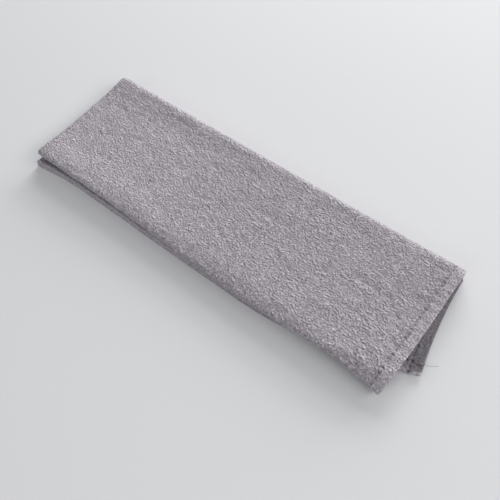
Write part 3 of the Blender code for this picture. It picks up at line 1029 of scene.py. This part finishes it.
class NapkinStage(bpy.types.PropertyGroup):
    table_colour: FloatVectorProperty(
        name="Table", description="The plain table top", default=(0.80, 0.80, 0.81), subtype="COLOR"
    )
    light_power: FloatProperty(
        name="Light power", description="All soft lights together", default=70.9, unit="POWER"
    )
    room_strength: FloatProperty(name="Room light", description="Even light from all round", default=0.19)
    lens: FloatProperty(name="Lens", description="Focal length in millimetres", default=41.14)


# Soft lights: name, place, size across and up, share of the power
LAMPS = (
    ("low_window", (0.00, 1.86, 0.40), (1.4, 0.50), 0.341),
    ("window", (-0.59, 1.62, 0.80), (1.2, 0.60), 0.272),
    ("left_window", (-1.32, 1.32, 0.33), (1.2, 0.40), 0.068),
    ("right_window", (1.43, 0.82, 0.95), (1.0, 0.60), 0.101),
    ("right", (1.56, 0.00, 1.09), (1.2, 0.80), 0.112),
    ("ceiling", (0.00, 0.07, 1.90), (1.2, 1.20), 0.020),
    ("front", (0.00, -1.56, 1.09), (1.2, 0.80), 0.086),
)
LAMP_COLOUR = (0.985, 0.987, 0.992)
ROOM_COLOUR = (0.93, 0.96, 1.0, 1.0)
TABLE_HALF_WIDTH = 1.6

# The camera: its place, and its turns in degrees
CAMERA_PLACE = (0.17404, -0.14006, 0.32405)
CAMERA_TURNS = (30.749, 6.117, 39.498)
SENSOR_WIDTH = 36.0


class NAPKIN_OT_stage(bpy.types.Operator):
    """Lays the plain pale table, and sets the lights and the camera"""

    bl_idname = "napkin.stage"
    bl_label = "Table, Lights and Camera"

    def execute(self, context):
        settings = context.scene.napkin_stage
        mesh = bmesh.new()
        bmesh.ops.create_grid(mesh, x_segments=4, y_segments=4, size=TABLE_HALF_WIDTH)
        finish_piece("table_top", mesh, pale_table(settings))

        for name, place, size, share in LAMPS:
            light = bpy.data.lights.new(name, "AREA")
            light.shape = "RECTANGLE"
            light.size, light.size_y = size
            light.energy = settings.light_power * share
            light.color = LAMP_COLOUR
            lamp = bpy.data.objects.new(name, light)
            lamp.location = place
            lamp.rotation_euler = (-lamp.location).to_track_quat("-Z", "Y").to_euler()
            context.scene.collection.objects.link(lamp)

        world = bpy.data.worlds.new("room")
        world.use_nodes = True
        background = world.node_tree.nodes["Background"]
        background.inputs["Color"].default_value = ROOM_COLOUR
        background.inputs["Strength"].default_value = settings.room_strength
        context.scene.world = world
        context.scene.view_settings.view_transform = "Standard"

        view = bpy.data.cameras.new("camera")
        view.lens = settings.lens
        view.sensor_width = SENSOR_WIDTH
        view.clip_start = 0.01
        camera = bpy.data.objects.new("camera", view)
        camera.location = CAMERA_PLACE
        camera.rotation_euler = [math.radians(turn) for turn in CAMERA_TURNS]
        context.scene.collection.objects.link(camera)
        context.scene.camera = camera
        return {"FINISHED"}


class NAPKIN_OT_cloth(bpy.types.Operator):
    """Folds the crinkled cotton cloth, with its hems"""

    bl_idname = "napkin.cloth"
    bl_label = "Folded Cloth"

    def execute(self, context):
        settings = context.scene.napkin_cloth
        cloth = finish_piece("napkin_cloth", folded_sheet(settings), crinkled_cotton(settings))
        thickness = cloth.modifiers.new("thickness", "SOLIDIFY")
        thickness.thickness = PLY
        thickness.offset = 0.0
        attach(cloth, "root")
        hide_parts("napkin")
        return {"FINISHED"}


SUNK_END = 0.14  # the share of a stitch that is hidden in the needle hole at each end

# The tack at the loose corner, in metres: how far from the cloth's edge a stitch starts and ends, the steps
# from one stitch to the next, and how much each lies above the last. Then its loose thread's run and bend
TACKS = 5
TACK_START, TACK_START_STEP = 0.0002, 0.0004
TACK_END, TACK_END_STEP = 0.0046, 0.0005
TACK_APART = 0.0003
TACK_LIFT = 0.0001
TACK_THICKNESS = 1.1
LOOSE_START = 0.0003
LOOSE_RUN = (0.0072, 0.0044, -0.0008)
LOOSE_BEND = 0.0008
LOOSE_THICKNESS = 0.7
LOOSE_SPANS = 9


class NAPKIN_OT_sewing(bpy.types.Operator):
    """Sews the hems: their stitches, the tack at the loose corner and its thread end"""

    bl_idname = "napkin.sewing"
    bl_label = "Hem Stitches"

    def execute(self, context):
        settings = context.scene.napkin_cloth
        cloth_map = ClothMap(bpy.data.objects["napkin_cloth"].data)
        mesh = bmesh.new()
        hem, pitch, thickness = settings.hem_width, settings.stitch_pitch, settings.thread_thickness
        lines = [((hem, q0), (hem, q0 + pitch)) for q0 in steps(hem, FLAT_ACROSS - hem, pitch)]
        half = RIGHT_END - LOOP_CENTRE
        for edge in (hem, FLAT_ACROSS - hem):
            lines += [((p0, edge), (p0 + pitch, edge)) for p0 in steps(hem, half, pitch)]
        for (p0, q0), (p1, q1) in lines:
            (start, outward), (end, other) = (
                cloth_map.place(p0 + (p1 - p0) * t, q0 + (q1 - q0) * t) for t in (SUNK_END, 1 - SUNK_END)
            )
            add_stitch(mesh, start, end, (outward + other).normalized(), thickness)
        self.corner_tack(mesh, cloth_map, hem, thickness)
        sewing = finish_piece("hem_stitches", mesh, sewing_thread(settings))
        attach(sewing, "root")
        return {"FINISHED"}

    @staticmethod
    def corner_tack(mesh, cloth_map, hem, thickness):
        """Back and forth stitches where the seam runs off the loose corner, and the thread's cut end."""
        seam = FLAT_ACROSS - hem
        for k in range(TACKS):
            drift = TACK_APART * (k - TACKS // 2)
            start, outward = cloth_map.place(TACK_START + TACK_START_STEP * (k % 2), seam + drift)
            end, _ = cloth_map.place(TACK_END - TACK_END_STEP * (k % 3), seam - drift)
            lift = outward * TACK_LIFT * k
            add_stitch(mesh, start + lift, end + lift, outward, thickness * TACK_THICKNESS)
        start, _ = cloth_map.place(LOOSE_START, seam)
        points = []
        for i in range(LOOSE_SPANS + 1):
            t = i / LOOSE_SPANS
            bend = Vector((0, -LOOSE_BEND * math.sin(math.pi * t), 0))
            points.append(start + Vector(LOOSE_RUN) * t + bend)
        add_thread(mesh, points, thickness * LOOSE_THICKNESS)


class NAPKIN_PT_panel(bpy.types.Panel):
    bl_label = "Folded Napkin"
    bl_idname = "NAPKIN_PT_panel"
    bl_space_type = "VIEW_3D"
    bl_region_type = "UI"
    bl_category = "Napkin"

    def draw(self, context):
        for operator in OPERATORS:
            self.layout.operator(operator.bl_idname)
        for settings in (context.scene.napkin_cloth, context.scene.napkin_stage):
            for name in settings.bl_rna.properties.keys():
                if name not in ("rna_type", "name"):
                    self.layout.prop(settings, name)


OPERATORS = (NAPKIN_OT_stage, NAPKIN_OT_cloth, NAPKIN_OT_sewing)
CLASSES = (NapkinCloth, NapkinStage, *OPERATORS, NAPKIN_PT_panel)


def register():
    for item in CLASSES:
        bpy.utils.register_class(item)
    bpy.types.Scene.napkin_cloth = PointerProperty(type=NapkinCloth)
    bpy.types.Scene.napkin_stage = PointerProperty(type=NapkinStage)


def unregister():
    del bpy.types.Scene.napkin_stage
    del bpy.types.Scene.napkin_cloth
    for item in reversed(CLASSES):
        bpy.utils.unregister_class(item)


def main():
    register()
    bpy.ops.napkin.stage()
    bpy.ops.napkin.cloth()
    bpy.ops.napkin.sewing()


if __name__ == "__main__":
    main()
